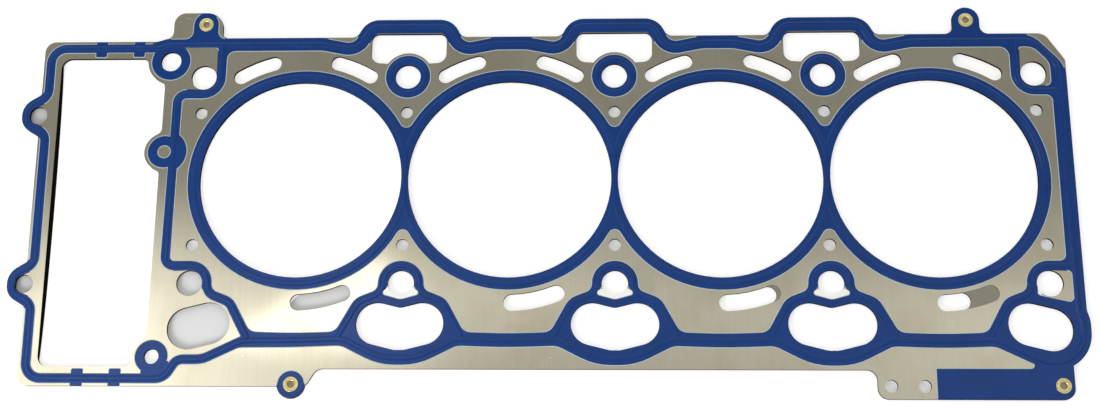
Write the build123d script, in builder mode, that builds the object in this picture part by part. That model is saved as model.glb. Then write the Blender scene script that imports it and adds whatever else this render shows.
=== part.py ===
from build123d import *
from math import hypot, sqrt
import os

# Multi-layer steel head gasket for one bank of four cylinders, in millimetres.
# +X runs along the bank, away from the timing chest. +Z is the cylinder-head side.
# The origin is the axis of the first cylinder, at the middle of the stack.

# ---- cylinders and head bolts ----
bore_count = 4
bore_pitch = 98.0
bore_radius = 47.5
bolt_row = 50.2               # the two rows of head bolts lie this far from the bore line
bolt_hole_radius = 6.0
vent_row = 32.2               # small vents on the same columns as the head bolts
vent_radius = 2.85

# ---- stack ----
carrier_thickness = 1.1
sheet_thickness = 0.3
print_thickness = 0.1
stopper_thickness = 0.08
stopper_width = 1.2

# ---- beads ----
bead_height = 0.3
bead_crest_share = 0.4        # width of the flat crest, as a share of the bead's foot
run_bead_width = 2.6
bore_bead_width = 2.4
bore_bead_offset = 2.9        # bead line outside the bore's edge

# ---- seal print: runs of one width, whose middle lines are given below ----
bore_band_width = 5.7
web_fillet = 3.2              # round end of the bare corner between two bore bands
run_width = 6.2
side_run_width = 6.8
corner_run_width = 4.1
thin_run_width = 4.3
bolt_ring_width = 4.4
hole_land = 0.15              # steel left bare round a bolt hole
edge_land = 0.4               # and between a run and the sheet's edge
rail_land = 1.3               # and outside the rails round the timing chest

# ---- upper run and its lobes round the upper windows ----
upper_run = 66.8
lobe_approach = 41.6          # half lengths, from the bolt column
lobe_foot = 24.8
lobe_crown = 18.4
lobe_foot_drop = 3.3
lobe_rise = 8.9
lobe_approach_round = 20.0
lobe_foot_round = 8.2
lobe_crown_round = 6.4
lobe_turn_round = 7.5         # where the sheet's edge turns out of its straight, on the lobe's middle line
field_start_round = 6.6       # bare field under the upper run: corner over the first bolt hole
field_end_round = 7.5         # and the one over the last
field_side_round = 5.8        # its two corners on the side run

# ---- lower run, its sags under the ports and the arches over them ----
lower_run = -75.9
mid_bore_sag = 0.85
mid_bore_round = 300.0
port_sag = 8.8
port_sag_foot = 25.7
port_sag_floor = 8.3
port_sag_round = 12.1
port_sag_floor_round = 26.9
arch_neck = -54.7
arch_neck_round = 6.2
arch_hip_half = 19.3
arch_hip = -59.0
arch_hip_round = 6.9
arch_foot_half = 28.6
arch_foot_round = 8.1

# ---- right end, measured from the last bore axis ----
side_run = 60.4
corner_start = 49.6           # the upper run turns down here
corner_end = 55.0             # height at which it has reached the side
corner_round = 10.0
side_round = 9.0
bulge_radius = 14.0           # middle line of the run round the last port
bulge_rise = 9.4              # above the port's centre the run starts to swing out,
bulge_shoulder = 3.7          # and has reached its full width here
bulge_foot_drop = 9.2         # below the bulge, where its two sides meet
pocket_start_round = 4.0      # bare pocket round the upper bolt hole
pocket_end_round = 5.6
low_pocket_inset = 2.1        # bare pocket round the lower one
low_pocket_floor = (-55.6, -59.2)
low_pocket_rounds = (2.2, 1.8)

# ---- timing chest on the left ----
inner_run = -61.0
inner_run_round = 4.3
rail_top = 65.3
rail_bottom = -94.3
rail_top_x = -123.9
rail_bottom_x = -121.5
rail_round = 7.2
rail_bulge_rows = (-50.5, 31.5)
rail_bulge_out = 9.5
rail_bulge_foot = 9.5
rail_bulge_crown = 3.8
rail_bulge_foot_round = 6.0
rail_bulge_crown_round = 5.8
rail_hole_out = 4.1
rail_hole_radius = 4.3
rail_meets_run = (-72.0, -67.5)
rail_meets_run_rounds = (4.0, 6.0)
lower_left_run = ((-40.5, -85.5, 12.0), (-52.3, -85.6, 5.0), (-57.6, rail_bottom, 7.0))
lower_left_start = (-22.5, -76.9, 10.0)
chest_apex_round = 2.6
chest_neck_round = 3.7
chest_margin = 5.2            # from the rails' middle line to the edge of the chest opening
chest_right = (-67.7, -66.7)  # upper and lower ends of the opening's right edge
chest_round = 5.0
chest_fillet = 3.0
tab_width = 5.3
tab_height = 7.5
tab_round = 0.7
upper_tabs = (-99.7, -81.3)
lower_tabs = (-97.6, -80.2)
tab_shift = 0.6               # the tabs stand this much further into the chest

# ---- rings and the blind disc on the chest's right wall ----
upper_ring = (-65.5, 58.5)
upper_ring_radius = 9.3
upper_ring_hole = 4.9
lower_ring = (-64.0, -84.3)
lower_ring_radius = 7.5
lower_ring_hole = 3.4
lower_ring_neck = (-68.3, -56.0, -92.6, -86.4)
blind_disc = (-65.5, 13.2)
blind_disc_radius = 7.8
blind_disc_bulge = 10.7
blind_disc_spot = 3.2
ring_land = 1.7               # steel between a ring's print and the chest opening

# ---- openings ----
coolant_radius = 59.2         # middle line of the curved slots, from the bore axis
upper_slot_width = 7.0
upper_slot_angles = (58.4, 74.8)
lower_slot_width = 7.8
lower_slot_angles = (-88.0, -68.0)
carrier_slot_ends = (-68.0, -68.0, -70.0, -81.0)
lobe_window_half = 17.95
lobe_window_drop = 0.7        # below the print of the lobe's crown
lobe_window_floor = 57.3
lobe_window_floor_dip = 1.0
lobe_window_round = 3.3
lobe_window_floor_round = 4.6
lobe_window_ring_gap = 1.3    # steel between the bolt ring's print and the window
port_near = (1.0, -71.3)      # centres of one half port's round ends, from the bolt column
port_far = (10.2, -69.0)
port_radius = 9.8
port_notch_round = 6.0
bell_half = 8.9               # bare bell round a lower bolt hole
bell_neck_end = -51.3
bell_neck_round = 1.0
bell_hip = -55.4
bell_hip_round = 1.3
bell_floor = -57.9
bell_floor_round = 5.0

# ---- edges and lugs of the sheets ----
lower_edge = -89.7
chest_edge_round = 5.0
chest_step_back = 1.0         # the chest's upper edge leaves its straight this far before the rail's
chest_step_round = 10.0
corner_lug = (-30.3, 56.4, -102.8)          # left and right from the last bore axis, and the lower edge
corner_lug_round = 5.0
corner_lug_foot = 4.5
corner_pad_left = -4.1
corner_pad_notch = 39.2
corner_pad_top = -89.1
corner_pad_round = 0.5
corner_pad_notch_round = 1.7
lug_hole_offsets = (-24.3, -9.5)
lug_hole_row = -97.0
lug_hole_radius = 2.9
upper_left_lug = (-65.4, -41.4, 83.4)       # left, right and top
upper_left_lug_lift = 0.6     # its left foot stands this much over its right one
upper_left_lug_rounds = (3.5, 5.5, 8.0, 3.0)
chamfer_start = 55.3          # from the last bore axis
chamfer_end = 57.0
chamfer_rounds = (6.0, 4.0)
lug_land = 0.4                # steel left bare round the pads of the lugs

# ---- eyelets that hold the sheets together ----
eyelet_upper_left = (-49.7, 77.3)
eyelet_upper_right = (313.2, 77.2)
eyelet_lower_left = (0.6, -96.8)
eyelet_lower_right = (345.3, -96.6)
eyelet_flange_radius = 3.45
eyelet_flange_thickness = 0.25
eyelet_barrel_radius = 2.2
eyelet_wall = 0.7
eyelet_rim_round = 0.2
eyelet_clearance = 0.05
eyelet_pad_radius = 6.0
eyelet_pad_foot = 4.0
eyelet_pad_root = 1.0         # a pad reaches this far into what it grows from
low_pad_foot = 5.0            # fillet from the lower edge up to the lower left pad
low_pad_shoulder = 1.5        # its side ends this far below the eyelet
low_pad_side_round = 5.0
low_pad_left = 2.5            # and its lower edge starts this far right of the eyelet
bend_relief = 0.02            # leaves a short straight between two bends of one radius

# ---- worked out from the above ----
bores = [i * bore_pitch for i in range(bore_count)]
last_bore = bores[-1]
columns = [x - bore_pitch / 2 for x in bores] + [last_bore + bore_pitch / 2]
first_column, last_column = columns[0], columns[-1]
port_columns = columns[1:-1]

main = run_width / 2
thin = thin_run_width / 2
side = side_run_width / 2
corner_band = corner_run_width / 2
side_run_x = last_bore + side_run
hook = bolt_hole_radius + hole_land + thin       # a thin run bends round a bolt hole at this radius
hook_round = hook - bend_relief
bulge_x = last_column - port_near[0] + bulge_radius
steel_top = upper_run + main + edge_land
chest_upper_edge = rail_top + thin + rail_land
chest_lower_edge = rail_bottom - thin - rail_land

carrier_top = carrier_thickness / 2
sheet_top = carrier_top + sheet_thickness
print_top = sheet_top + print_thickness
bead_line_radius = bore_radius + bore_bead_offset


def rail_x(y):
    # The chest's left rail leans a little.
    return rail_top_x + (rail_bottom_x - rail_top_x) * (rail_top - y) / (rail_top - rail_bottom)


# ---- middle lines of the runs, clockwise ----
# A corner is (x, y, round, half width of the side that follows it).

def run_of(corners, half_width, x=0.0):
    return [(x + a, b, r, half_width) for a, b, r in corners]


def ending(corners, half_width):
    return corners[:-1] + [corners[-1][:3] + (half_width,)]


def mirrored(half):
    return half + [(-x, y, r) for x, y, r in reversed(half)]


lobe = mirrored([
    (-lobe_approach, upper_run, lobe_approach_round),
    (-lobe_foot, upper_run - lobe_foot_drop, lobe_foot_round),
    (-lobe_crown, upper_run + lobe_rise, lobe_crown_round),
])
arch_half = [
    (-arch_foot_half, lower_run, arch_foot_round),
    (-arch_hip_half, arch_hip, arch_hip_round),
    (-hook, arch_neck, arch_neck_round),
    (-hook, hook - bolt_row, hook_round),
]
arch = mirrored(arch_half)
sag = mirrored([
    (-port_sag_foot, lower_run, port_sag_round),
    (-port_sag_floor, lower_run - port_sag, port_sag_floor_round),
])


def lobes():
    return [corner for x in port_columns for corner in run_of(lobe, main, x)]


def left_rail():
    corners = [(rail_bottom_x, rail_bottom, rail_round, thin)]
    for y in rail_bulge_rows:
        for step in (-rail_bulge_foot, -rail_bulge_crown, rail_bulge_crown, rail_bulge_foot):
            if abs(step) == rail_bulge_crown:
                corners.append((rail_x(y) - rail_bulge_out, y + step, rail_bulge_crown_round, thin))
            else:
                corners.append((rail_x(y + step), y + step, rail_bulge_foot_round, thin))
    return corners + [(rail_top_x, rail_top, rail_round, thin)]


def lower_side(dip):
    # From the last bore back to the first, with a dip at each port column.
    corners = []
    for x in reversed(bores):
        corners.append((x, lower_run - mid_bore_sag, mid_bore_round, main))
        if x > bores[0]:
            half_width = main if dip is sag else thin
            corners += ending(run_of(reversed(dip), half_width, x - bore_pitch / 2), main)
    return corners


outer_line = [
    (rail_meets_run[0], rail_top, rail_meets_run_rounds[0], main),
    (rail_meets_run[1], upper_run, rail_meets_run_rounds[1], main),
] + lobes() + [
    (last_bore + corner_start, upper_run, corner_round, corner_band),
    (side_run_x, corner_end, corner_round, side),
    (side_run_x, port_near[1] + bulge_rise, side_round, main),
    (bulge_x, port_near[1] + bulge_shoulder, side_round, main),
    (bulge_x, port_near[1] - bulge_radius - bulge_foot_drop, bulge_radius, main),
    (last_column - port_sag_foot, lower_run, port_sag_round, main),
] + lower_side(sag) + run_of([lower_left_start, *lower_left_run], thin) + left_rail()

inner_run_line = [
    (first_column + hook, bolt_row - hook, hook, thin),
    (inner_run, bolt_row - hook, inner_run_round, thin),
    (inner_run, hook - bolt_row, inner_run_round, thin),
]
first_flank = run_of([(-x, y, r) for x, y, r in reversed(arch_half)], thin, first_column)
field_line = (
    [(first_column + hook, upper_run, field_start_round, main)] + lobes()
    + [(last_column - hook, upper_run, field_end_round, thin), (last_column - hook, bolt_row - hook, hook, thin)]
    + [(side_run_x, bolt_row - hook, field_side_round, side), (side_run_x, hook - bolt_row, field_side_round, thin)]
    + ending(run_of(reversed(arch_half), thin, last_column), main)
    + lower_side(arch) + list(reversed(first_flank)) + list(reversed(inner_run_line))
)
chest_line = [
    (upper_ring[0], rail_top, 0.0, thin),
    (upper_ring[0], upper_run + main - thin, 0.0, thin),
    (first_column + hook, upper_run + main - thin, chest_neck_round, thin),
] + inner_run_line + first_flank[:-1] + [first_flank[-1][:2] + (chest_apex_round, thin)]
chest_line += run_of(lower_left_run, thin) + left_rail()
upper_pocket_line = [
    (last_column - hook, upper_run, pocket_start_round, main),
    (last_bore + corner_start, upper_run, corner_round, corner_band),
    (side_run_x, corner_end, corner_round, side),
    (side_run_x, bolt_row - hook, pocket_end_round, thin),
    (last_column - hook, bolt_row - hook, hook, thin),
]


def moved_corner(before, corner, after, way, land):
    """The corner of two sides moved outwards (way 1) or inwards (way -1); its round stays concentric."""
    first, second = way * (before[3] + land), way * (corner[3] + land)
    along = (corner[0] - before[0], corner[1] - before[1])
    onward = (after[0] - corner[0], after[1] - corner[1])
    u = (along[0] / hypot(*along), along[1] / hypot(*along))
    v = (onward[0] / hypot(*onward), onward[1] / hypot(*onward))
    turn = u[0] * v[1] - u[1] * v[0]
    x = corner[0] + (first * v[0] - second * u[0]) / turn
    y = corner[1] + (first * v[1] - second * u[1]) / turn
    round_radius = corner[2] - (first + second) / 2 * (1 if turn > 0 else -1)
    return (x, y, max(round_radius, 0.0) if corner[2] else 0.0)


def moved(line, way, land=0.0):
    return [moved_corner(line[i - 1], line[i], line[(i + 1) % len(line)], way, land) for i in range(len(line))]


def outline(corners, mode=Mode.ADD):
    with BuildLine() as edge:
        FilletPolyline(*[c[:2] for c in corners], radius=[c[2] for c in corners], close=True)
    make_face(edge.edges(), mode=mode)


def disc(place, radius, mode=Mode.ADD):
    with Locations(place):
        Circle(radius, mode=mode)


# ---- openings through the whole stack ----
def half_port(x, way):
    """One obround of a port, on the left (-1) or right (1) of its bolt column."""
    near, far = (x + way * port_near[0], port_near[1]), (x + way * port_far[0], port_far[1])
    SlotCenterPoint(((near[0] + far[0]) / 2, (near[1] + far[1]) / 2), far, 2 * port_radius)


def coolant_slot(x, start, end, width):
    with BuildLine(mode=Mode.PRIVATE) as middle_line:
        CenterArc((x, 0), coolant_radius, start, end - start)
    SlotArc(middle_line.edge(), width)


chest_rings = (
    (upper_ring, upper_ring_radius + ring_land),
    (blind_disc, blind_disc_radius + ring_land),
    (lower_ring, lower_ring_radius + ring_land),
)
with BuildSketch() as chest_opening:
    outline([
        (rail_x(rail_top - chest_margin) + chest_margin, rail_top - chest_margin, chest_round),
        (chest_right[0], rail_top - chest_margin, 0.0),
        (chest_right[1], rail_bottom + chest_margin, 0.0),
        (rail_x(rail_bottom + chest_margin) + chest_margin, rail_bottom + chest_margin, chest_round),
    ])
    for place, radius in chest_rings:
        disc(place, radius, Mode.SUBTRACT)
    corners = chest_opening.vertices().filter_by(
        lambda v: any(abs(hypot(v.X - place[0], v.Y - place[1]) - radius) < 1e-3 for place, radius in chest_rings)
    )
    fillet(corners, chest_fillet)

with BuildSketch() as lobe_window:
    crown = upper_run + lobe_rise - main - lobe_window_drop
    outline([
        (-lobe_window_half, crown, lobe_window_round),
        (lobe_window_half, crown, lobe_window_round),
        (lobe_window_half, lobe_window_floor, lobe_window_floor_round),
        (0, lobe_window_floor - lobe_window_floor_dip, 0),
        (-lobe_window_half, lobe_window_floor, lobe_window_floor_round),
    ])
    disc((0, bolt_row), bolt_hole_radius + hole_land + bolt_ring_width + lobe_window_ring_gap, Mode.SUBTRACT)

with BuildSketch() as round_holes:
    for x in columns:
        for row in (-1, 1):
            disc((x, row * bolt_row), bolt_hole_radius)
            disc((x, row * vent_row), vent_radius)
    for y in rail_bulge_rows:
        disc((rail_x(y) - rail_hole_out, y), rail_hole_radius)
    disc(upper_ring, upper_ring_hole)
    disc(lower_ring, lower_ring_hole)
    for offset in lug_hole_offsets:
        disc((last_bore + offset, lug_hole_row), lug_hole_radius)

with BuildSketch() as ports:
    for x in port_columns:
        with BuildSketch(mode=Mode.PRIVATE) as port:
            half_port(x, -1)
            half_port(x, 1)
            notch = port.vertices().filter_by(lambda v: abs(v.X - x) < 1e-3).sort_by(Axis.Y)[-1]
            fillet(notch, port_notch_round)
        add(port.sketch)
    half_port(first_column, 1)
    half_port(last_column, -1)

with BuildSketch() as upper_slots:
    for x in bores:
        coolant_slot(x, *upper_slot_angles, upper_slot_width)
        coolant_slot(x, 180 - upper_slot_angles[1], 180 - upper_slot_angles[0], upper_slot_width)

with BuildSketch() as lower_slots:
    for x in bores:
        coolant_slot(x, *lower_slot_angles, lower_slot_width)

with BuildSketch() as carrier_lower_slots:
    for x, end in zip(bores, carrier_slot_ends):
        coolant_slot(x, lower_slot_angles[0], end, lower_slot_width)

with BuildSketch() as shared_openings:
    for x in bores:
        disc((x, 0), bore_radius)
    add(chest_opening.sketch)
    for x in port_columns:
        with Locations((x, 0)):
            add(lobe_window.sketch)
    add(round_holes.sketch)
    add(ports.sketch)
    add(upper_slots.sketch)

# ---- outline of the sheets ----

def lobe_edge(x):
    """The sheet's edge round a lobe, from the straight stretch before it to the one after."""
    turn = lobe_foot - (lobe_foot - lobe_crown) * lobe_foot_drop / (lobe_rise + lobe_foot_drop)
    half = [
        (-lobe_approach, upper_run, 0.0),
        (-turn, upper_run, lobe_turn_round),
        (-lobe_crown, upper_run + lobe_rise, lobe_crown_round),
    ]
    line = run_of(mirrored(half), main, x)
    return [moved_corner(*line[i - 1:i + 2], 1, edge_land) for i in range(1, len(line) - 1)]


def upright_pad(place, radius, foot_row):
    """A rounded pad round an eyelet, growing out of an edge that runs along X at foot_row."""
    x, y = place
    wide, root = radius + eyelet_pad_foot + eyelet_pad_root, foot_row - eyelet_pad_root
    outline([
        (x - wide, root, 0), (x - wide, foot_row, 0),
        (x - radius, foot_row, eyelet_pad_foot), (x - radius, y + radius, radius - bend_relief),
        (x + radius, y + radius, radius - bend_relief), (x + radius, foot_row, eyelet_pad_foot),
        (x + wide, foot_row, 0), (x + wide, root, 0),
    ])


with BuildSketch() as sheet_outline:
    rail_left = rail_x(rail_top) - thin - rail_land, rail_x(rail_bottom) - thin - rail_land
    lug_left, lug_right, lug_crown = upper_left_lug
    side_edge = side_run_x + side + edge_land
    corner_left, corner_right, corner_floor = last_bore + corner_lug[0], last_bore + corner_lug[1], corner_lug[2]
    pad_right = eyelet_lower_left[0] + eyelet_pad_radius + lug_land
    outline([
        (rail_left[0], chest_upper_edge, chest_edge_round),
        (rail_meets_run[0] - chest_step_back, chest_upper_edge, chest_step_round),
        (lug_left, steel_top + upper_left_lug_lift, upper_left_lug_rounds[0]),
        (lug_left, lug_crown, upper_left_lug_rounds[1]),
        (lug_right, lug_crown, upper_left_lug_rounds[2]),
        (lug_right, steel_top, upper_left_lug_rounds[3]),
        *[corner for x in port_columns for corner in lobe_edge(x)],
        (last_bore + chamfer_start, steel_top, chamfer_rounds[0]),
        (side_edge, chamfer_end, chamfer_rounds[1]),
        (side_edge, port_near[1], 0.0),
        (corner_right, port_near[1] - port_radius, 0.0),
        (corner_right, corner_floor, corner_lug_round),
        (corner_left, corner_floor, corner_lug_round),
        (corner_left, lower_edge, corner_lug_foot),
        (pad_right + low_pad_foot, lower_edge, low_pad_foot),
        (pad_right, eyelet_lower_left[1] - low_pad_shoulder, low_pad_side_round),
        (eyelet_lower_left[0] + low_pad_left, chest_lower_edge, 0.0),
        (rail_left[1], chest_lower_edge, chest_edge_round),
    ])
    outline(moved(outer_line, 1, edge_land))
    upright_pad(eyelet_upper_right, eyelet_pad_radius + lug_land, steel_top)
    disc(eyelet_lower_left, eyelet_pad_radius + lug_land)

# ---- plans of the seal print ----
eyelet_places = (eyelet_upper_left, eyelet_upper_right, eyelet_lower_left, eyelet_lower_right)
with BuildSketch() as eyelet_holes:
    for place in eyelet_places:
        disc(place, eyelet_barrel_radius + eyelet_clearance)

with BuildSketch() as perimeter_plan:
    outline(moved(outer_line, 1))
    outline(moved(field_line, -1), Mode.SUBTRACT)
    outline(moved(chest_line, -1), Mode.SUBTRACT)
    outline(moved(upper_pocket_line, -1), Mode.SUBTRACT)
    pocket_left = last_column - bolt_hole_radius - hole_land
    pocket_right = side_run_x - side + low_pocket_inset
    pocket_top = bolt_hole_radius + hole_land - bolt_row
    outline([
        (pocket_left, pocket_top, bolt_hole_radius + hole_land),
        (pocket_right, pocket_top, low_pocket_rounds[0]),
        (pocket_right, low_pocket_floor[1], low_pocket_rounds[0]),
        (pocket_left, low_pocket_floor[0], low_pocket_rounds[1]),
    ], Mode.SUBTRACT)
    bell_neck = bolt_hole_radius + 2 * hole_land
    for x in port_columns:
        outline([
            (x - bell_neck, bell_neck - bolt_row, bell_neck - bend_relief),
            (x + bell_neck, bell_neck - bolt_row, bell_neck - bend_relief),
            (x + bell_neck, bell_neck_end, bell_neck_round),
            (x + bell_half, bell_hip, bell_hip_round),
            (x, bell_floor, bell_floor_round),
            (x - bell_half, bell_hip, bell_hip_round),
            (x - bell_neck, bell_neck_end, bell_neck_round),
        ], Mode.SUBTRACT)
    disc(upper_ring, upper_ring_radius)
    disc(lower_ring, lower_ring_radius)
    neck_left, neck_right, neck_bottom, neck_top = lower_ring_neck
    outline([(neck_left, neck_bottom, 0), (neck_left, neck_top, 0), (neck_right, neck_top, 0), (neck_right, neck_bottom, 0)])
    disc(blind_disc, blind_disc_radius)
    with BuildSketch(mode=Mode.PRIVATE) as disc_bulge:
        disc(blind_disc, blind_disc_bulge)
        split(bisect_by=Plane((inner_run, 0, 0), z_dir=(1, 0, 0)), keep=Keep.TOP)
    add(disc_bulge.sketch)
    disc(blind_disc, blind_disc_spot, Mode.SUBTRACT)
    for tabs, row in ((upper_tabs, rail_top - tab_shift), (lower_tabs, rail_bottom + tab_shift)):
        with Locations(*[(x, row) for x in tabs]):
            RectangleRounded(tab_width, tab_height, tab_round)
    upright_pad(eyelet_upper_left, eyelet_pad_radius, upper_run + main)
    upright_pad(eyelet_upper_right, eyelet_pad_radius, upper_run + main)
    patch_left = last_bore + corner_pad_left
    patch_right = corner_right - lug_land
    patch_floor = corner_floor + lug_land
    notch_x = last_bore + corner_pad_notch
    outline([
        (patch_left, patch_floor, corner_pad_round),
        (patch_left, corner_pad_top, corner_pad_round),
        (notch_x, corner_pad_top, corner_pad_notch_round),
        (notch_x, port_near[1] - port_radius, 0),
        (patch_right, port_near[1] - port_radius, 0),
        (patch_right, patch_floor, corner_lug_round),
    ])
    for openings in (shared_openings, lower_slots, eyelet_holes):
        add(openings.sketch, mode=Mode.SUBTRACT)

with BuildSketch() as bore_chain_plan:
    for x in bores:
        disc((x, 0), bore_radius + bore_band_width)
    fillet(bore_chain_plan.vertices(), web_fillet)
    for x in bores:
        disc((x, 0), bore_radius, Mode.SUBTRACT)

with BuildSketch() as bolt_ring_plan:
    disc((0, bolt_row), bolt_hole_radius + hole_land + bolt_ring_width)
    disc((0, bolt_row), bolt_hole_radius + hole_land, Mode.SUBTRACT)

with BuildSketch() as eyelet_pad_plan:
    disc(eyelet_lower_left, eyelet_pad_radius)
    add(eyelet_holes.sketch, mode=Mode.SUBTRACT)


# ---- beads: ridges of one section, standing on z = 0 ----
def bead_section(width, at=0.0):
    crest = width * bead_crest_share / 2
    with BuildLine() as edge:
        Polyline((at - width / 2, 0), (at + width / 2, 0), (at + crest, bead_height), (at - crest, bead_height), close=True)
    make_face(edge.edges())


def run_bead(corners, closed=False):
    """A bead along a run; the ends of an open one lie on the middle lines of the runs that it joins."""
    rounds = [c[2] for c in corners] if closed else [c[2] for c in corners[1:-1]]
    with BuildLine(mode=Mode.PRIVATE) as path:
        FilletPolyline(*[c[:2] for c in corners], radius=rounds, close=closed)
    start, heading = path.line @ 0, path.line % 0
    with BuildSketch(Plane(start, x_dir=Vector(0, 0, 1).cross(heading), z_dir=heading), mode=Mode.PRIVATE) as section:
        bead_section(run_bead_width)
    sweep(section.sketch, path=path.wire())


with BuildPart() as perimeter_beads:
    run_bead(outer_line, closed=True)
    run_bead([(first_column + hook, upper_run, 0, thin)] + inner_run_line + first_flank)
    for x in port_columns:
        run_bead(run_of(arch, thin, x))
    run_bead([
        (last_column - hook, upper_run, 0),
        (last_column - hook, bolt_row - hook, hook),
        (side_run_x, bolt_row - hook, 0),
    ])
    run_bead(run_of(arch_half, thin, last_column) + [(side_run_x, hook - bolt_row, 0, thin)])

with BuildPart() as bore_beads:
    for x in bores:
        with BuildPart(mode=Mode.PRIVATE) as ring:
            with BuildSketch(Plane.XZ.offset(0)):
                bead_section(bore_bead_width, bead_line_radius)
            revolve(axis=Axis.Z)
            near_side = -bore_pitch / 2 if x > bores[0] else -bore_pitch
            far_side = bore_pitch / 2 if x < last_bore else bore_pitch
            with Locations(((near_side + far_side) / 2, 0, 0)):
                Box(far_side - near_side, 2 * bore_pitch, 2 * bore_pitch, mode=Mode.INTERSECT)
        with Locations((x, 0, 0)):
            add(ring.part)
    web_half = sqrt(bead_line_radius**2 - (bore_pitch / 2) ** 2)
    for x in port_columns:
        with BuildSketch(Plane((x, -web_half, 0), x_dir=(1, 0, 0), z_dir=(0, -1, 0))):
            bead_section(bore_bead_width)
        extrude(amount=-2 * web_half)

with BuildPart() as bolt_bead:
    with BuildSketch(Plane.XZ):
        bead_section(bore_bead_width, bolt_hole_radius + hole_land + bolt_ring_width / 2)
    revolve(axis=Axis.Z)

with BuildPart() as bolt_beads:
    with Locations(*[(x, bolt_row, 0) for x in port_columns]):
        add(bolt_bead.part)

with BuildPart() as first_bolt_bead:
    with Locations((0, bolt_row, 0)):
        add(bolt_bead.part)

all_beads = (perimeter_beads, bore_beads, bolt_beads)


# ---- carrier and the two beaded sheets ----
os.makedirs("parts", exist_ok=True)


def formed_layer(plan, cuts, beads, floor, thickness):
    """A flat layer above z = floor whose beads stand out of its top and leave grooves under it."""
    with BuildSketch(Plane.XY.offset(floor), mode=Mode.PRIVATE) as base:
        add(plan.sketch)
        for cut in cuts:
            add(cut.sketch, mode=Mode.SUBTRACT)
    extrude(base.sketch, amount=thickness)
    for bead in beads:
        with Locations((0, 0, floor + thickness)):
            add(bead.part)
        with Locations((0, 0, floor)):
            add(bead.part, mode=Mode.SUBTRACT)


with BuildPart() as carrier_sheet:
    with BuildSketch(Plane.XY.offset(-carrier_top)):
        add(sheet_outline.sketch)
        for cut in (shared_openings, carrier_lower_slots, eyelet_holes):
            add(cut.sketch, mode=Mode.SUBTRACT)
    extrude(amount=carrier_thickness)
    with BuildSketch(Plane.XY.offset(carrier_top)):
        for x in bores:
            disc((x, 0), bore_radius + stopper_width)
    extrude(amount=-stopper_thickness, mode=Mode.SUBTRACT)
carrier_sheet.part.label = "carrier_sheet"
export_step(carrier_sheet.part, "parts/carrier_sheet.step")

with BuildPart() as upper_bead_sheet:
    formed_layer(sheet_outline, [shared_openings, lower_slots, eyelet_holes], all_beads, carrier_top, sheet_thickness)
upper_bead_sheet.part.label = "upper_bead_sheet"
export_step(upper_bead_sheet.part, "parts/upper_bead_sheet.step")

with BuildPart() as lower_bead_sheet:
    add(mirror(upper_bead_sheet.part, about=Plane.XY))
lower_bead_sheet.part.label = "lower_bead_sheet"
export_step(lower_bead_sheet.part, "parts/lower_bead_sheet.step")

# ---- stopper rings, let into the carrier round each bore ----
for number, x in enumerate(bores, 1):
    with BuildPart() as stopper_ring:
        with BuildSketch(Plane.XY.offset(carrier_top - stopper_thickness)):
            disc((x, 0), bore_radius + stopper_width)
            disc((x, 0), bore_radius, Mode.SUBTRACT)
        extrude(amount=stopper_thickness)
    stopper_ring.part.label = f"stopper_ring_{number}"
    export_step(stopper_ring.part, f"parts/stopper_ring_{number}.step")

# ---- seal prints on both outer faces; the bolt rings are the same print at each column ----
prints = [
    ("perimeter_seal_print", perimeter_plan, [perimeter_beads], 0),
    ("bore_seal_print", bore_chain_plan, [bore_beads], 0),
    ("eyelet_pad_print", eyelet_pad_plan, [], 0),
]
for number, x in enumerate(port_columns, 1):
    prints.append((f"bolt_ring_print_{number}", bolt_ring_plan, [first_bolt_bead], x))
for name, plan, beads, x in prints:
    with BuildPart(mode=Mode.PRIVATE) as plain_print:
        formed_layer(plan, [], beads, sheet_top, print_thickness)
    with BuildPart() as upper_print:
        with Locations((x, 0, 0)):
            add(plain_print.part)
    upper_print.part.label = f"upper_{name}"
    export_step(upper_print.part, f"parts/upper_{name}.step")
    with BuildPart() as lower_print:
        add(mirror(upper_print.part, about=Plane.XY))
    lower_print.part.label = f"lower_{name}"
    export_step(lower_print.part, f"parts/lower_{name}.step")

# ---- eyelets ----
eyelet_names = ("upper_left", "upper_right", "lower_left", "lower_right")
flange_top = print_top + eyelet_flange_thickness
for name, place in zip(eyelet_names, eyelet_places):
    with BuildPart() as eyelet:
        with Locations((*place, 0)):
            Cylinder(eyelet_barrel_radius, 2 * flange_top)
            for side_of_stack in (-1, 1):
                with Locations((0, 0, side_of_stack * (flange_top + print_top) / 2)):
                    Cylinder(eyelet_flange_radius, eyelet_flange_thickness)
            Cylinder(eyelet_barrel_radius - eyelet_wall, 2 * flange_top, mode=Mode.SUBTRACT)
        rims = eyelet.edges().filter_by(GeomType.CIRCLE).filter_by(lambda e: abs(abs(e.center().Z) - flange_top) < 1e-6)
        fillet(rims, eyelet_rim_round)
    eyelet.part.label = f"{name}_eyelet"
    export_step(eyelet.part, f"parts/{name}_eyelet.step")
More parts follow.
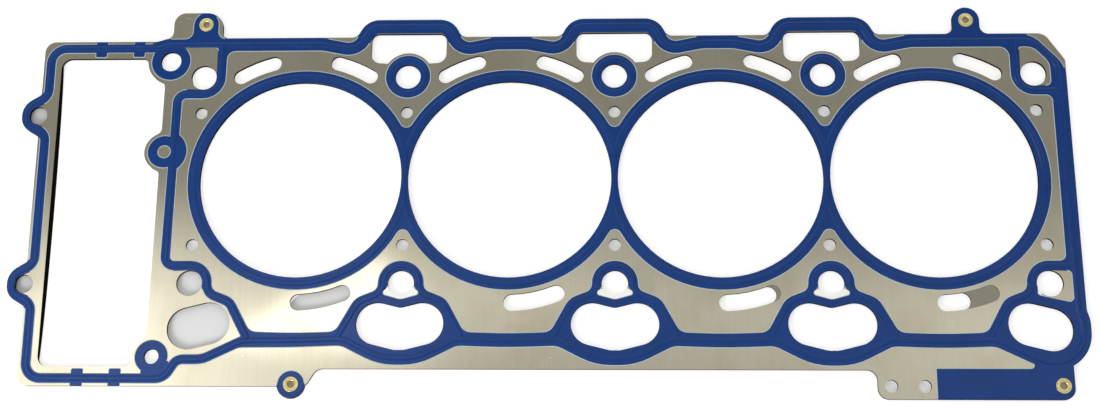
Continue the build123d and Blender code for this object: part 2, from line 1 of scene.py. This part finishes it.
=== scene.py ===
import bpy
import math
import numpy as np
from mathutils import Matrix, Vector


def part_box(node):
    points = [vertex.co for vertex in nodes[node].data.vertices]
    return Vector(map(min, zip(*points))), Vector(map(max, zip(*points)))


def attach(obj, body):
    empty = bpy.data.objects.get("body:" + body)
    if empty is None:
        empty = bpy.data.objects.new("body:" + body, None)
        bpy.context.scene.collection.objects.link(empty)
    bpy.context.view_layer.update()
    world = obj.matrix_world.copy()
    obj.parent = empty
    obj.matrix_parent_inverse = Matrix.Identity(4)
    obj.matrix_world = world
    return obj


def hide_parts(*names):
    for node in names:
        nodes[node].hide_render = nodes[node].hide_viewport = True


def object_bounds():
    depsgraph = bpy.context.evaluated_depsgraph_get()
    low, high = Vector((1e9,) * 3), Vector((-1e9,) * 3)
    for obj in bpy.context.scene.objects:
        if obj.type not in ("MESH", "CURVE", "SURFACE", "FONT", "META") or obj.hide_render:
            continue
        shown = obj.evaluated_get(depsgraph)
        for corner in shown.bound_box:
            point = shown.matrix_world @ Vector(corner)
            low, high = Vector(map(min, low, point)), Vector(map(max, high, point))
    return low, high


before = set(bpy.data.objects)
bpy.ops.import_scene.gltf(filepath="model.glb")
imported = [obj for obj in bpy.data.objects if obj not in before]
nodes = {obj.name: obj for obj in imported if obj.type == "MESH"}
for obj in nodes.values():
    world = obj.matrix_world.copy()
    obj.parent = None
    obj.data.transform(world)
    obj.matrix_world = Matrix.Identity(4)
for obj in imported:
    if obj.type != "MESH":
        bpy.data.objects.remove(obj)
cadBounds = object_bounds()
mm = 0.001
boltColumns = (-49, 49, 147, 245, 343)  # x of the bolt holes, in mm
print("frame loaded,", len(nodes), "nodes")


# ---- small helpers ----
def linearColour(hexText):  # sRGB hex to the linear RGBA that the shaders take
    values = [int(hexText[i:i + 2], 16) / 255 for i in (1, 3, 5)]
    linear = [v / 12.92 if v <= 0.04045 else ((v + 0.055) / 1.055) ** 2.4 for v in values]
    return (*linear, 1.0)


def addNode(tree, kind, settings={}, inputs={}):
    # settings are the node's own properties; an input is a plain value, a socket, or a node, which stands for
    # the output that it has in use
    node = tree.nodes.new("ShaderNode" + kind)
    for key, value in settings.items():
        setattr(node, key, value)
    for key, value in inputs.items():
        if isinstance(value, bpy.types.Node):
            value = next(socket for socket in value.outputs if socket.enabled)
        if isinstance(value, bpy.types.NodeSocket):
            tree.links.new(value, node.inputs[key])
        else:
            node.inputs[key].default_value = value
    return node


# settings that several materials share
smooth = {"interpolation_type": "SMOOTHSTEP"}   # Map Range with soft ends: value, low, high, to low, to high
colours = {"data_type": "RGBA"}                 # Mix of two colours, inputs 6 and 7
around = {"vector_type": "TEXTURE"}             # Mapping that carries a unit circle to a placed ellipse
add, subtract, divide = {"operation": "ADD"}, {"operation": "SUBTRACT"}, {"operation": "DIVIDE"}
multiply, multiplyAdd = {"operation": "MULTIPLY"}, {"operation": "MULTIPLY_ADD"}
largest, absolute = {"operation": "MAXIMUM"}, {"operation": "ABSOLUTE"}
length, scale = {"operation": "LENGTH"}, {"operation": "SCALE"}


noiseRoughness = 0.6
noiseSpan = {1: 0.3, 2: 0.7}                    # Map Range inputs that take in most of a noise pattern


def newMaterial(name):
    material = bpy.data.materials.new(name)
    material.use_nodes = True
    material.node_tree.nodes.clear()
    return material, material.node_tree


def finishWith(tree, inputs, plain={}):
    # the shader of a finished material, with its linked and its plain inputs
    shader = addNode(tree, "BsdfPrincipled", {}, {**inputs, **plain})
    addNode(tree, "OutputMaterial", {}, {"Surface": shader})


def blotches(tree, size, detail=2.0, stretch=(1, 1, 1)):
    # pattern whose blotches are size metres wide, drawn out along the axes by stretch
    places = addNode(tree, "TexCoord").outputs["Object"]
    mapped = addNode(tree, "Mapping", {}, {"Vector": places, "Scale": tuple(1 / s for s in stretch)})
    inputs = {0: mapped, "Scale": 1 / size, "Detail": detail, "Roughness": noiseRoughness}
    return addNode(tree, "TexNoise", {}, inputs)


def insideSpots(tree, spots, softness, height=0.0):
    # 1 inside any of the ellipses (x, y, half length, half width in mm, turn in degrees), 0 outside
    places = addNode(tree, "TexCoord").outputs["Object"]
    total = None
    for x, y, halfLong, halfWide, turn in spots:
        middle, size = (x * mm, y * mm, height), (halfLong * mm, halfWide * mm, 1)
        turned = (0, 0, math.radians(turn))
        ellipse = addNode(tree, "Mapping", around, {0: places, 1: middle, 2: turned, 3: size})
        distance = addNode(tree, "VectorMath", length, {0: ellipse})
        spot = addNode(tree, "MapRange", smooth, {0: distance, 1: 1.0, 2: 1.0 - softness})
        total = spot if total is None else addNode(tree, "Math", largest, {0: total, 1: spot})
    return total


def newObject(name, points, faces):
    mesh = bpy.data.meshes.new(name)
    mesh.from_pydata(points.tolist(), [], faces.tolist())
    thing = bpy.data.objects.new(name, mesh)
    bpy.context.scene.collection.objects.link(thing)
    return thing


def paint(nodeName, material):
    nodes[nodeName].data.materials.clear()
    nodes[nodeName].data.materials.append(material)


# ---- rolled spring steel: the two beaded sheets ----
# Cold-rolled stainless strip, bright finish: warm grey, nearly a mirror, with a faint straight grain across
# the gasket. The sheared edges are rough, and painted near black: painted shade, for the shade on the cut
# walls.
springSteel = {
    "colour": "#C5C0AF",
    "stainColour": "#BDB7A3",
    # painted shade: the cut walls, near black
    "edgeShadeColour": "#1E1A15",
    "grainWidth": 0.6 * mm,      # real grain is finer; drawn this coarse so that it shows
    "grainLength": 60,
    "grainStrength": 0.02,
    "cloudSize": 40 * mm,
    "stainSpan": {1: 0.42, 2: 0.68},
    "roughness": (0.06, 0.11),
    "edgeRoughness": 0.35,       # more than on the face
    "waviness": 0.03,
    "waveDepth": 0.01 * mm,
    "scratchColour": "#F2EFE6",
    "scratchSoftness": 0.5,
    "scratches": [               # x, y, half length, half width in mm and turn in degrees
        (-62.4, 78.9, 0.8, 0.25, 35), (-58.9, 80.7, 1.7, 0.18, -14), (-57.0, 80.2, 0.8, 0.15, -35),
        (-66.8, 66.0, 0.7, 0.13, 10), (30.5, -95.0, 1.1, 0.1, 65), (-22.0, -84.0, 0.45, 0.25, 20),
        (118.0, -84.5, 0.9, 0.1, -40), (334.0, 66.2, 0.5, 0.2, 15),
    ],
    "paintedReflectionColour": "#FFFEFA",
    "paintedReflectionSoftness": 0.1,
    # bare corners beside the lower bolt holes, painted near white and not metal: a painted reflection of
    # bright light
    "paintedReflectionPads": [(x, -55.6, 9.4, 3.9, 0) for x in boltColumns[1:4]] + [(335.6, -55.4, 3.4, 3.6, 0)],
}
uprightSpan = {1: 0.75, 2: 0.4}  # Z of the normal at which a face is still level, and at which it is cut


def uprightness(tree):  # 0 on a level face, 1 on a cut edge
    facing = addNode(tree, "NewGeometry").outputs["True Normal"]
    parts = addNode(tree, "SeparateXYZ", {}, {0: facing})
    level = addNode(tree, "Math", absolute, {0: parts.outputs["Z"]})
    return addNode(tree, "MapRange", smooth, {0: level, **uprightSpan})


def steelMaterial(name, v):
    material, tree = newMaterial(name)
    bare, stained = linearColour(v["colour"]), linearColour(v["stainColour"])
    grain = blotches(tree, v["grainWidth"], 3.0, (1, v["grainLength"], 1))
    cloud = blotches(tree, v["cloudSize"], 3.0)
    stain = addNode(tree, "MapRange", smooth, {0: cloud, **v["stainSpan"]})
    finish = addNode(tree, "Mix", colours, {0: stain, 6: bare, 7: stained})
    light, dark = 1 + v["grainStrength"], 1 - v["grainStrength"]
    shade = addNode(tree, "MapRange", smooth, {0: grain, **noiseSpan, 3: dark, 4: light})
    finish = addNode(tree, "VectorMath", scale, {0: finish, "Scale": shade})
    edge = uprightness(tree)
    dull = edge
    if v["scratches"]:
        marks = insideSpots(tree, v["scratches"], v["scratchSoftness"])
        finish = addNode(tree, "Mix", colours, {0: marks, 6: finish, 7: linearColour(v["scratchColour"])})
        # painted reflection: bare corners by the lower bolt holes, near white and not metal
        paintedReflection = insideSpots(tree, v["paintedReflectionPads"], v["paintedReflectionSoftness"])
        finish = addNode(tree, "Mix", colours, {0: paintedReflection, 6: finish, 7: linearColour(v["paintedReflectionColour"])})
        dull = addNode(tree, "Math", largest, {0: paintedReflection, 1: edge})
    # painted shade: the cut edges take a near-black colour and lose their metal
    finish = addNode(tree, "Mix", colours, {0: edge, 6: finish, 7: linearColour(v["edgeShadeColour"])})
    low, high = v["roughness"]
    rough = addNode(tree, "MapRange", smooth, {0: cloud, **noiseSpan, 3: low, 4: high})
    rough = addNode(tree, "Math", multiplyAdd, {0: edge, 1: v["edgeRoughness"], 2: rough})
    bump = addNode(tree, "Bump", {}, {"Height": grain, "Strength": v["waviness"], "Distance": v["waveDepth"]})
    metallic = addNode(tree, "Math", subtract, {0: 1.0, 1: dull})
    linked = {"Base Color": finish, "Metallic": metallic, "Roughness": rough, "Normal": bump}
    finishWith(tree, linked, {"Specular IOR Level": 0.0})
    return material


sheetSteel = steelMaterial("rolledSpringSteel", springSteel)
for nodeName in ("upper_bead_sheet", "lower_bead_sheet"):
    paint(nodeName, sheetSteel)
print("bead sheets finished")

# ---- carrier: the thick middle sheet, seen on its cut walls and inside two of the slots ----
# The joints to the sheets above and below it are painted as dark lines: painted shade, for the gaps where the
# layers stand a little apart.
carrierSteel = {
    "colour": "#A3A094",         # level face, darkened as painted shade for the shade of the slot
    "wallShadeColour": "#241F19",     # sheared wall, painted dark: painted shade, for the half of it in the shade of the sheet above
    "jointShadeColour": "#12100D",
    "jointStart": 0.10 * mm,     # from the middle of the stack
    "jointEnd": 0.34 * mm,
    "toolMarkWidth": 0.25 * mm,
    "toolMarkHeight": 8,         # times the width
    "toolMarkShades": (0.85, 1.05),
    "roughness": 0.3,
}


def carrierMaterial(v):
    material, tree = newMaterial("shearedCarrierSteel")
    place = addNode(tree, "SeparateXYZ", {}, {0: addNode(tree, "TexCoord").outputs["Object"]})
    height = addNode(tree, "Math", absolute, {0: place.outputs["Z"]})
    wall = uprightness(tree)
    joint = addNode(tree, "MapRange", smooth, {0: height, 1: v["jointStart"], 2: v["jointEnd"]})
    joint = addNode(tree, "Math", multiply, {0: wall, 1: joint})
    marks = blotches(tree, v["toolMarkWidth"], 2.0, (1, 1, v["toolMarkHeight"]))
    dark, light = v["toolMarkShades"]
    shade = addNode(tree, "MapRange", smooth, {0: marks, **noiseSpan, 3: dark, 4: light})
    level, sheared = linearColour(v["colour"]), linearColour(v["wallShadeColour"])
    bare = addNode(tree, "Mix", colours, {0: wall, 6: level, 7: sheared})
    marked = addNode(tree, "VectorMath", scale, {0: bare, "Scale": shade})
    # painted shade: dark lines at the joints of the wall
    finish = addNode(tree, "Mix", colours, {0: joint, 6: marked, 7: linearColour(v["jointShadeColour"])})
    metallic = addNode(tree, "Math", subtract, {0: 1.0, 1: wall})
    plain = {"Roughness": v["roughness"], "Specular IOR Level": 0.0}
    finishWith(tree, {"Base Color": finish, "Metallic": metallic}, plain)
    return material


paint("carrier_sheet", carrierMaterial(carrierSteel))
stopperFoil = dict(springSteel, colour="#C9C6BE", stainColour="#BDB9AE", scratches=[], cloudSize=20 * mm)
stopperSteel = steelMaterial("rolledStopperFoil", stopperFoil)
for nodeName in nodes:
    if nodeName.startswith("stopper_ring"):
        paint(nodeName, stopperSteel)
print("carrier and stoppers finished")

# ---- seal print: silk-screened blue elastomer ----
# A thin coat with a soft sheen, faintly mottled by the screen. The beads under it show as soft ridges.
sealPrint = {
    "colour": "#033A84",
    "shadeColour": "#023476",
    "beadRound": 0.3 * mm,
    "meshWidth": 0.9 * mm,       # the screen's mottle; the real one is finer
    "meshStrength": 0.08,
    "meshDepth": 0.02 * mm,
    "cloudSize": 14 * mm,
    "cloudShare": 0.45,          # of the tone; the mottle gives the rest
    "toneSpan": {1: 0.35, 2: 0.65},
    "roughness": (0.13, 0.18),
    "specular": 0.31,
}


def printMaterial(v):
    material, tree = newMaterial("silkScreenedSeal")
    mottle = blotches(tree, v["meshWidth"])
    cloud = blotches(tree, v["cloudSize"])
    tone = addNode(tree, "Math", multiply, {0: mottle, 1: 1 - v["cloudShare"]})
    tone = addNode(tree, "Math", multiplyAdd, {0: cloud, 1: v["cloudShare"], 2: tone})
    tone = addNode(tree, "MapRange", smooth, {0: tone, **v["toneSpan"]})
    shaded, lit = linearColour(v["shadeColour"]), linearColour(v["colour"])
    base = addNode(tree, "Mix", colours, {0: tone, 6: shaded, 7: lit})
    low, high = v["roughness"]
    rough = addNode(tree, "MapRange", smooth, {0: mottle, **noiseSpan, 3: low, 4: high})
    rounded = addNode(tree, "Bevel", {"samples": 8}, {"Radius": v["beadRound"]})
    bump = {"Height": mottle, "Strength": v["meshStrength"], "Distance": v["meshDepth"], "Normal": rounded}
    linked = {"Base Color": base, "Roughness": rough, "Normal": addNode(tree, "Bump", {}, bump)}
    finishWith(tree, linked, {"Specular IOR Level": v["specular"]})
    return material


bluePrint = printMaterial(sealPrint)
for nodeName in nodes:
    if "_print" in nodeName:
        paint(nodeName, bluePrint)
print("seal prints finished")

# ---- margin of the print: where the coat thins out over the steel ----
# A pale line a few tenths of a millimetre wide along every edge of the print that ends on open steel. Where
# the sheet's own edge is near, the blue coat runs on to it instead.
printMargin = {
    "colour": "#BCCACB",
    "width": 0.36 * mm,
    "overrunWidth": 0.4 * mm,
    "edgeGap": 0.02 * mm,        # left between the coat and the sheet's edge
    "innerLift": 0.05 * mm,      # over the steel, against the print
    "outerLift": 0.012 * mm,
    "bareGap": 0.7 * mm,         # the sheet's edge counts as near at this distance
    "sheetFoot": 0.55 * mm,
    "sheetTop": 0.85 * mm,
    "printTop": 0.95 * mm,
    "weld": 0.002 * mm,          # corners nearer than this are one
    "roughness": 0.5,
}
heightSlack = 0.01 * mm  # between a wall's corner and the height that it stands on
wallLean = 0.05          # the largest Z of an upright wall's normal
tiny = 1e-20             # keeps a division by a length of nothing possible
noDirection = 1e-9       # normals that meet at a corner and add up to less than this point nowhere
pointsAtOnce = 500       # in a distance table


def wallEdges(nodeName, low, high):
    # bottom edges (start, end) and outward normals, in plan, of the upright triangles that span low..high
    mesh = nodes[nodeName].data
    mesh.calc_loop_triangles()
    points = np.empty(len(mesh.vertices) * 3)
    mesh.vertices.foreach_get("co", points)
    corners = np.empty(len(mesh.loop_triangles) * 3, int)
    mesh.loop_triangles.foreach_get("vertices", corners)
    triangles = points.reshape(-1, 3)[corners].reshape(-1, 3, 3)
    normals = np.cross(triangles[:, 1] - triangles[:, 0], triangles[:, 2] - triangles[:, 0])
    normals /= np.maximum(np.linalg.norm(normals, axis=1, keepdims=True), tiny)
    heights = triangles[:, :, 2]
    inSpan = (heights.min(axis=1) > low - heightSlack) & (heights.max(axis=1) < high + heightSlack)
    upright = inSpan & (np.abs(normals[:, 2]) < wallLean)
    triangles, normals = triangles[upright], normals[upright, :2]
    atFoot = np.abs(triangles[:, :, 2] - low) < heightSlack
    standing = atFoot.sum(axis=1) == 2  # of a wall's two triangles, the one with two corners at the foot
    edges = triangles[standing][atFoot[standing]].reshape(-1, 2, 3)[:, :, :2]
    return edges, normals[standing]


def distanceToEdges(points, edges):
    # the least distance in plan of each point to any of the edges: |p - a - t (b - a)| with t clamped to 0..1
    start, along = edges[:, 0], edges[:, 1] - edges[:, 0]
    least = np.full(len(points), np.inf)
    for first in range(0, len(points), pointsAtOnce):
        block = slice(first, first + pointsAtOnce)
        offset = points[block, None] - start
        t = np.clip((offset * along).sum(-1) / np.maximum((along ** 2).sum(-1), tiny), 0, 1)
        least[block] = np.linalg.norm(offset - t[..., None] * along, axis=-1).min(axis=1)
    return least


def marginQuads(printNodes, v):
    # quads (p, q, q + w n_q, p + w n_p) along each bottom edge p-q of the print's walls, n being the corner's
    # mean normal and w its width, which stops short of the sheet's edge: those on open steel, then those near
    # that edge
    found = [wallEdges(printNode, v["sheetTop"], v["printTop"]) for printNode in printNodes]
    edges, normals = (np.concatenate(part) for part in zip(*found))
    sheetEdges = wallEdges("upper_bead_sheet", v["sheetFoot"], v["sheetTop"])[0]
    ends = edges.reshape(-1, 2)
    index = np.unique(np.round(ends / v["weld"]).astype(int), axis=0, return_inverse=True)[1].reshape(-1)
    mean = np.zeros((index.max() + 1, 2))
    np.add.at(mean, index, np.repeat(normals, 2, axis=0))
    mean /= np.maximum(np.linalg.norm(mean, axis=1, keepdims=True), noDirection)
    outward = mean[index].reshape(-1, 2, 2)
    apart = distanceToEdges(ends, sheetEdges).reshape(-1, 2)
    near = apart.min(axis=1) < v["bareGap"]
    width = np.where(near, v["overrunWidth"], v["width"])[:, None]
    reach = np.clip(apart - v["edgeGap"], 0, width)[..., None]
    innerHeight = np.full(edges.shape[:2], v["sheetTop"] + v["innerLift"])
    outerHeight = np.full(edges.shape[:2], v["sheetTop"] + v["outerLift"])
    inner = np.dstack([edges, innerHeight])
    outer = np.dstack([edges + outward * reach, outerHeight])
    quads = np.stack([inner[:, 0], inner[:, 1], outer[:, 1], outer[:, 0]], axis=1)
    facing = np.cross(quads[:, 1] - quads[:, 0], quads[:, 3] - quads[:, 0])[:, 2]
    quads[facing < 0] = quads[facing < 0][:, ::-1]
    return quads[~near], quads[near]


def mirroredBelow(quads):  # (x, y, z) to (x, y, -z), with the corners in turned order
    return quads[:, ::-1] * (1, 1, -1)


# thin, half dry coat: pale and dull
marginCoat, marginTree = newMaterial("thinCoatMargin")
marginColour = {"Base Color": linearColour(printMargin["colour"]), "Roughness": printMargin["roughness"]}
finishWith(marginTree, {}, marginColour)
upperPrints = [n for n in nodes if n.startswith("upper_") and "_print" in n]
openQuads, edgeQuads = marginQuads(upperPrints, printMargin)
for name, quads, coat in (
    ("upper_print_margin", openQuads, marginCoat),
    ("lower_print_margin", mirroredBelow(openQuads), marginCoat),
    ("upper_print_overrun", edgeQuads, bluePrint),
    ("lower_print_overrun", mirroredBelow(edgeQuads), bluePrint),
):
    margin = newObject(name, quads.reshape(-1, 3), np.arange(len(quads) * 4).reshape(-1, 4))
    margin.data.materials.append(coat)
    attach(margin, "root")
print("print margins finished")

# ---- eyelets: drawn brass tubes flared over both faces ----
eyeletShape = {
    "colour": "#F6EAB4",
    "shadeColour": "#D9C680",
    "upperSection": [            # radius and height over the middle of the stack, in mm
        (1.50, 0.5225), (1.53, 0.8075), (1.67, 1.03), (1.78, 1.12),      # up the mouth
        (1.93, 1.185), (2.05, 1.20), (2.19, 1.185), (2.37, 1.12),        # over the rolled lip
        (2.55, 1.08), (2.75, 1.07),                                      # along the dish
        (3.07, 1.12), (3.23, 1.15), (3.37, 1.12), (3.45, 1.04), (3.41, 0.97),  # round the rim
        (3.33, 0.95), (2.20, 0.95),                                      # under the flange, on the print
    ],
    "turns": 72,
    "polishWidth": 0.8 * mm,
    "polishSpan": {1: 0.35, 2: 0.7},
    "roughness": 0.3,
}


def eyeletMaterial(v):
    material, tree = newMaterial("drawnBrass")
    polish = addNode(tree, "MapRange", smooth, {0: blotches(tree, v["polishWidth"], 3.0), **v["polishSpan"]})
    bright, worn = linearColour(v["colour"]), linearColour(v["shadeColour"])
    toned = addNode(tree, "Mix", colours, {0: polish, 6: bright, 7: worn})
    finishWith(tree, {"Base Color": toned}, {"Metallic": 1.0, "Roughness": v["roughness"]})
    return material


def revolvedMesh(name, profile, centre, turns):
    # point (i, j) = centre + (r_i cos a_j, r_i sin a_j, z_i) with a_j = 2 pi j / turns; the mesh closes on
    # itself both ways
    angles = np.linspace(0, 2 * math.pi, turns, endpoint=False)
    radius, height = profile[:, :1], profile[:, 1:]
    points = np.stack([
        centre[0] + radius * np.cos(angles), centre[1] + radius * np.sin(angles), height + 0 * angles,
    ], axis=-1).reshape(-1, 3)
    columns = np.arange(turns)
    row = np.arange(len(profile))[:, None] * turns
    nextRow, nextColumn = np.roll(row, -1, axis=0), np.roll(columns, -1)
    faces = np.stack([
        row + columns, nextRow + columns, nextRow + nextColumn, row + nextColumn,
    ], axis=-1).reshape(-1, 4)
    thing = newObject(name, points, faces)
    thing.data.polygons.foreach_set("use_smooth", np.ones(len(faces), bool))
    thing.data.update()
    return thing


# drawn brass, tumbled bright, with the shallow dents darker
brass = eyeletMaterial(eyeletShape)
upperHalf = np.array(eyeletShape["upperSection"]) * mm
eyeletSection = np.concatenate([upperHalf, upperHalf[::-1] * (1, -1)])
eyeletPlaces = []  # x and y in mm, for the paper under them
for nodeName in [n for n in nodes if n.endswith("_eyelet")]:
    low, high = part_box(nodeName)
    centre = (low + high) / 2
    eyeletPlaces.append((centre.x / mm, centre.y / mm))
    piece = revolvedMesh("flared_" + nodeName, eyeletSection, centre[:2], eyeletShape["turns"])
    piece.data.materials.append(brass)
    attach(piece, "root")
    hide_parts(nodeName)
print("eyelets finished")

# ---- floor: seamless white paper, matt, with painted shade and a painted shadow ----
paperFloor = {
    "size": 8.0,
    "colour": "#DCDCDD",
    "glow": 0.55,                # seen by the camera and in the metal, so that the open paper is plain white
    # painted shade on the paper under small openings
    "shadeColour": "#D9DADC",
    "mouthShadeColour": "#9C8C5A",    # painted shade at the foot of an eyelet, tinted warm as by light from its brass
    "shadowStripeColour": "#1B1916",   # painted shadow along the chest opening's left wall, to make its dark edge wider
    "spotSoftness": 0.03,
    # painted shade and shadow: paper without its full glow and in a darker colour, at small openings and
    # along that wall: share that goes, colour, spots
    "shadedSpots": [
        (0.85, "shadeColour", [(-49, -50.2, 7.5, 7.5, 0), (-43.5, -70.2, 18, 14, 13)]),
        (0.85, "shadeColour", [(13, -58, 15.5, 7, 12)]),
        (1.00, "shadeColour", [(-127.5, 31.5, 6.5, 6.5, 0), (-126.3, -50.5, 6.5, 6.5, 0)]),
        (0.42, "shadeColour", [(277, -97, 12.5, 4.5, 0)]),
        (0.42, "shadeColour", [(x, y, 4.5, 4.5, 0) for x in boltColumns for y in (-32.2, 32.2)]),
        (0.80, "mouthShadeColour", [(x, y, 3, 3, 0) for x, y in eyeletPlaces]),
        (1.00, "shadowStripeColour", [(-117.8, -14, 1.7, 76, 0.85)]),
    ],
}


def makeFloor(v, height):
    half = v["size"] / 2
    corners = [(-half, -half, height), (half, -half, height), (half, half, height), (-half, half, height)]
    floor = newObject("paper_floor", np.array(corners), np.array([(0, 1, 2, 3)]))
    material, tree = newMaterial("whitePaper")
    path = addNode(tree, "LightPath")
    rays = {0: path.outputs["Is Camera Ray"], 1: path.outputs["Is Glossy Ray"]}
    seen = addNode(tree, "Math", largest, rays)
    shaded, tone = 0.0, linearColour(v["colour"])
    for share, colour, spots in v["shadedSpots"]:
        under = insideSpots(tree, spots, v["spotSoftness"], height)
        shaded = addNode(tree, "Math", multiplyAdd, {0: under, 1: share, 2: shaded})
        tone = addNode(tree, "Mix", colours, {0: under, 6: tone, 7: linearColour(v[colour])})
    paper = addNode(tree, "BsdfDiffuse", {}, {"Color": tone})
    lit = addNode(tree, "Math", subtract, {0: 1.0, 1: shaded})
    lit = addNode(tree, "Math", multiply, {0: seen, 1: lit})
    lit = addNode(tree, "Math", multiply, {0: lit, 1: v["glow"]})
    glow = addNode(tree, "Emission", {}, {"Strength": lit})
    both = addNode(tree, "AddShader", {}, {0: paper, 1: glow})
    addNode(tree, "OutputMaterial", {}, {"Surface": both})
    floor.data.materials.append(material)


# ---- light: a white tent, open at the back and towards the front, with a bright panel up on the left ----
# Its tones follow the slope of a direction: across = x / z and back = y / z.
tent = {
    "colour": "#F5F4EF",
    "tones": [                   # back slope and strength, from the front round to the back
        (-1.2, 0.50), (-0.25, 0.60), (0.05, 0.75), (0.15, 0.74), (0.20, 0.91), (0.25, 0.68), (0.30, 0.43),
        (0.34, 0.44), (0.50, 0.45), (0.85, 1.0), (1.2, 1.15),
    ],
    "glows": [                   # wide soft lights: middle and sizes as slopes, strength
        ((-0.38, 0.10), (0.24, 0.16), 1.62),
        ((-0.13, 0.225), (0.14, 0.08), 0.26),
        ((0.38, 0.15), (0.28, 0.08), 0.40),
        ((-0.34, 0.19), (0.10, 0.10), 0.28),
    ],
    "glowReach": 1.3,            # a glow fades out at this many times its size
    "panelStrength": 2.2,
    # sides of the bright panel: (a, b, c) with a * across + b * back < c inside
    "panelSides": [(-0.52, 0.854, 0.2875), (0.86, 0.51, -0.0145), (0.0, -1.0, -0.175)],
    "panelBlur": 0.004,
    "leastUp": 0.02,             # z is held at this near the horizon and below it
}
# softboxes: where, aimed at, width and height in metres, watts
softboxes = {
    "keySoftbox": ((-0.45, -0.75, 0.45), (0.0, -0.05, 0.0), (0.5, 0.35), 6.0),
}


def makeWorld(v):
    world = bpy.data.worlds.new("softTent")
    bpy.context.scene.world = world
    world.use_nodes = True
    tree = world.node_tree
    tree.nodes.clear()
    way = addNode(tree, "SeparateXYZ", {}, {0: addNode(tree, "TexCoord").outputs["Generated"]})
    up = addNode(tree, "Math", largest, {0: way.outputs["Z"], 1: v["leastUp"]})
    across = addNode(tree, "Math", divide, {0: way.outputs["X"], 1: up})
    back = addNode(tree, "Math", divide, {0: way.outputs["Y"], 1: up})
    first, last = v["tones"][0][0], v["tones"][-1][0]
    ramp = addNode(tree, "ValToRGB", {}, {0: addNode(tree, "MapRange", {}, {0: back, 1: first, 2: last})})
    ramp.color_ramp.interpolation = "EASE"
    steps = ramp.color_ramp.elements
    for slope, strength in v["tones"][1:-1]:
        steps.new((slope - first) / (last - first))
    for step, (slope, strength) in zip(steps, v["tones"]):
        step.color = (strength, strength, strength, 1)
    slopes = addNode(tree, "CombineXYZ", {}, {0: across, 1: back})
    total = ramp
    for middle, size, strength in v["glows"]:
        ellipse = addNode(tree, "Mapping", around, {0: slopes, 1: (*middle, 0), 3: (*size, 1)})
        distance = addNode(tree, "VectorMath", length, {0: ellipse})
        fade = {1: v["glowReach"], 2: 0.0, 3: 0.0, 4: strength}
        glow = addNode(tree, "MapRange", smooth, {0: distance, **fade})
        total = addNode(tree, "Math", add, {0: total, 1: glow})
    panel = v["panelStrength"]
    for a, b, c in v["panelSides"]:
        beyond = addNode(tree, "Math", multiply, {0: back, 1: b})
        beyond = addNode(tree, "Math", multiplyAdd, {0: across, 1: a, 2: beyond})
        inside = addNode(tree, "MapRange", smooth, {0: beyond, 1: c + v["panelBlur"], 2: c - v["panelBlur"]})
        panel = addNode(tree, "Math", multiply, {0: panel, 1: inside})
    total = addNode(tree, "Math", add, {0: total, 1: panel})
    sky = addNode(tree, "Background", {}, {"Color": linearColour(v["colour"]), "Strength": total})
    addNode(tree, "OutputWorld", {}, {"Surface": sky})


def makeSoftbox(name, place, aim, size, power):
    light = bpy.data.lights.new(name, "AREA")
    light.shape = "RECTANGLE"
    light.size, light.size_y = size
    light.energy = power
    lamp = bpy.data.objects.new(name, light)
    bpy.context.scene.collection.objects.link(lamp)
    lamp.location = place
    lamp.rotation_euler = (Vector(aim) - Vector(place)).to_track_quat("-Z", "Y").to_euler()


makeFloor(paperFloor, cadBounds[0].z)
makeWorld(tent)
for name, settings in softboxes.items():
    makeSoftbox(name, *settings)
print("studio finished")

# ---- camera ----
camera = {
    "place": (0.1443, -0.1960, 0.6702),
    "turn": (0.2664, 0.0383, 0.0085),
    "lens": 49.1,
    "sensor": 36.0,
    "clip": (0.01, 50),
}
cameraData = bpy.data.cameras.new("camera")
cameraData.lens, cameraData.sensor_width = camera["lens"], camera["sensor"]
cameraData.clip_start, cameraData.clip_end = camera["clip"]
cameraObject = bpy.data.objects.new("camera", cameraData)
bpy.context.scene.collection.objects.link(cameraObject)
cameraObject.location, cameraObject.rotation_euler = camera["place"], camera["turn"]
bpy.context.scene.camera = cameraObject
bpy.context.scene.view_settings.view_transform = "Standard"

print("camera set")
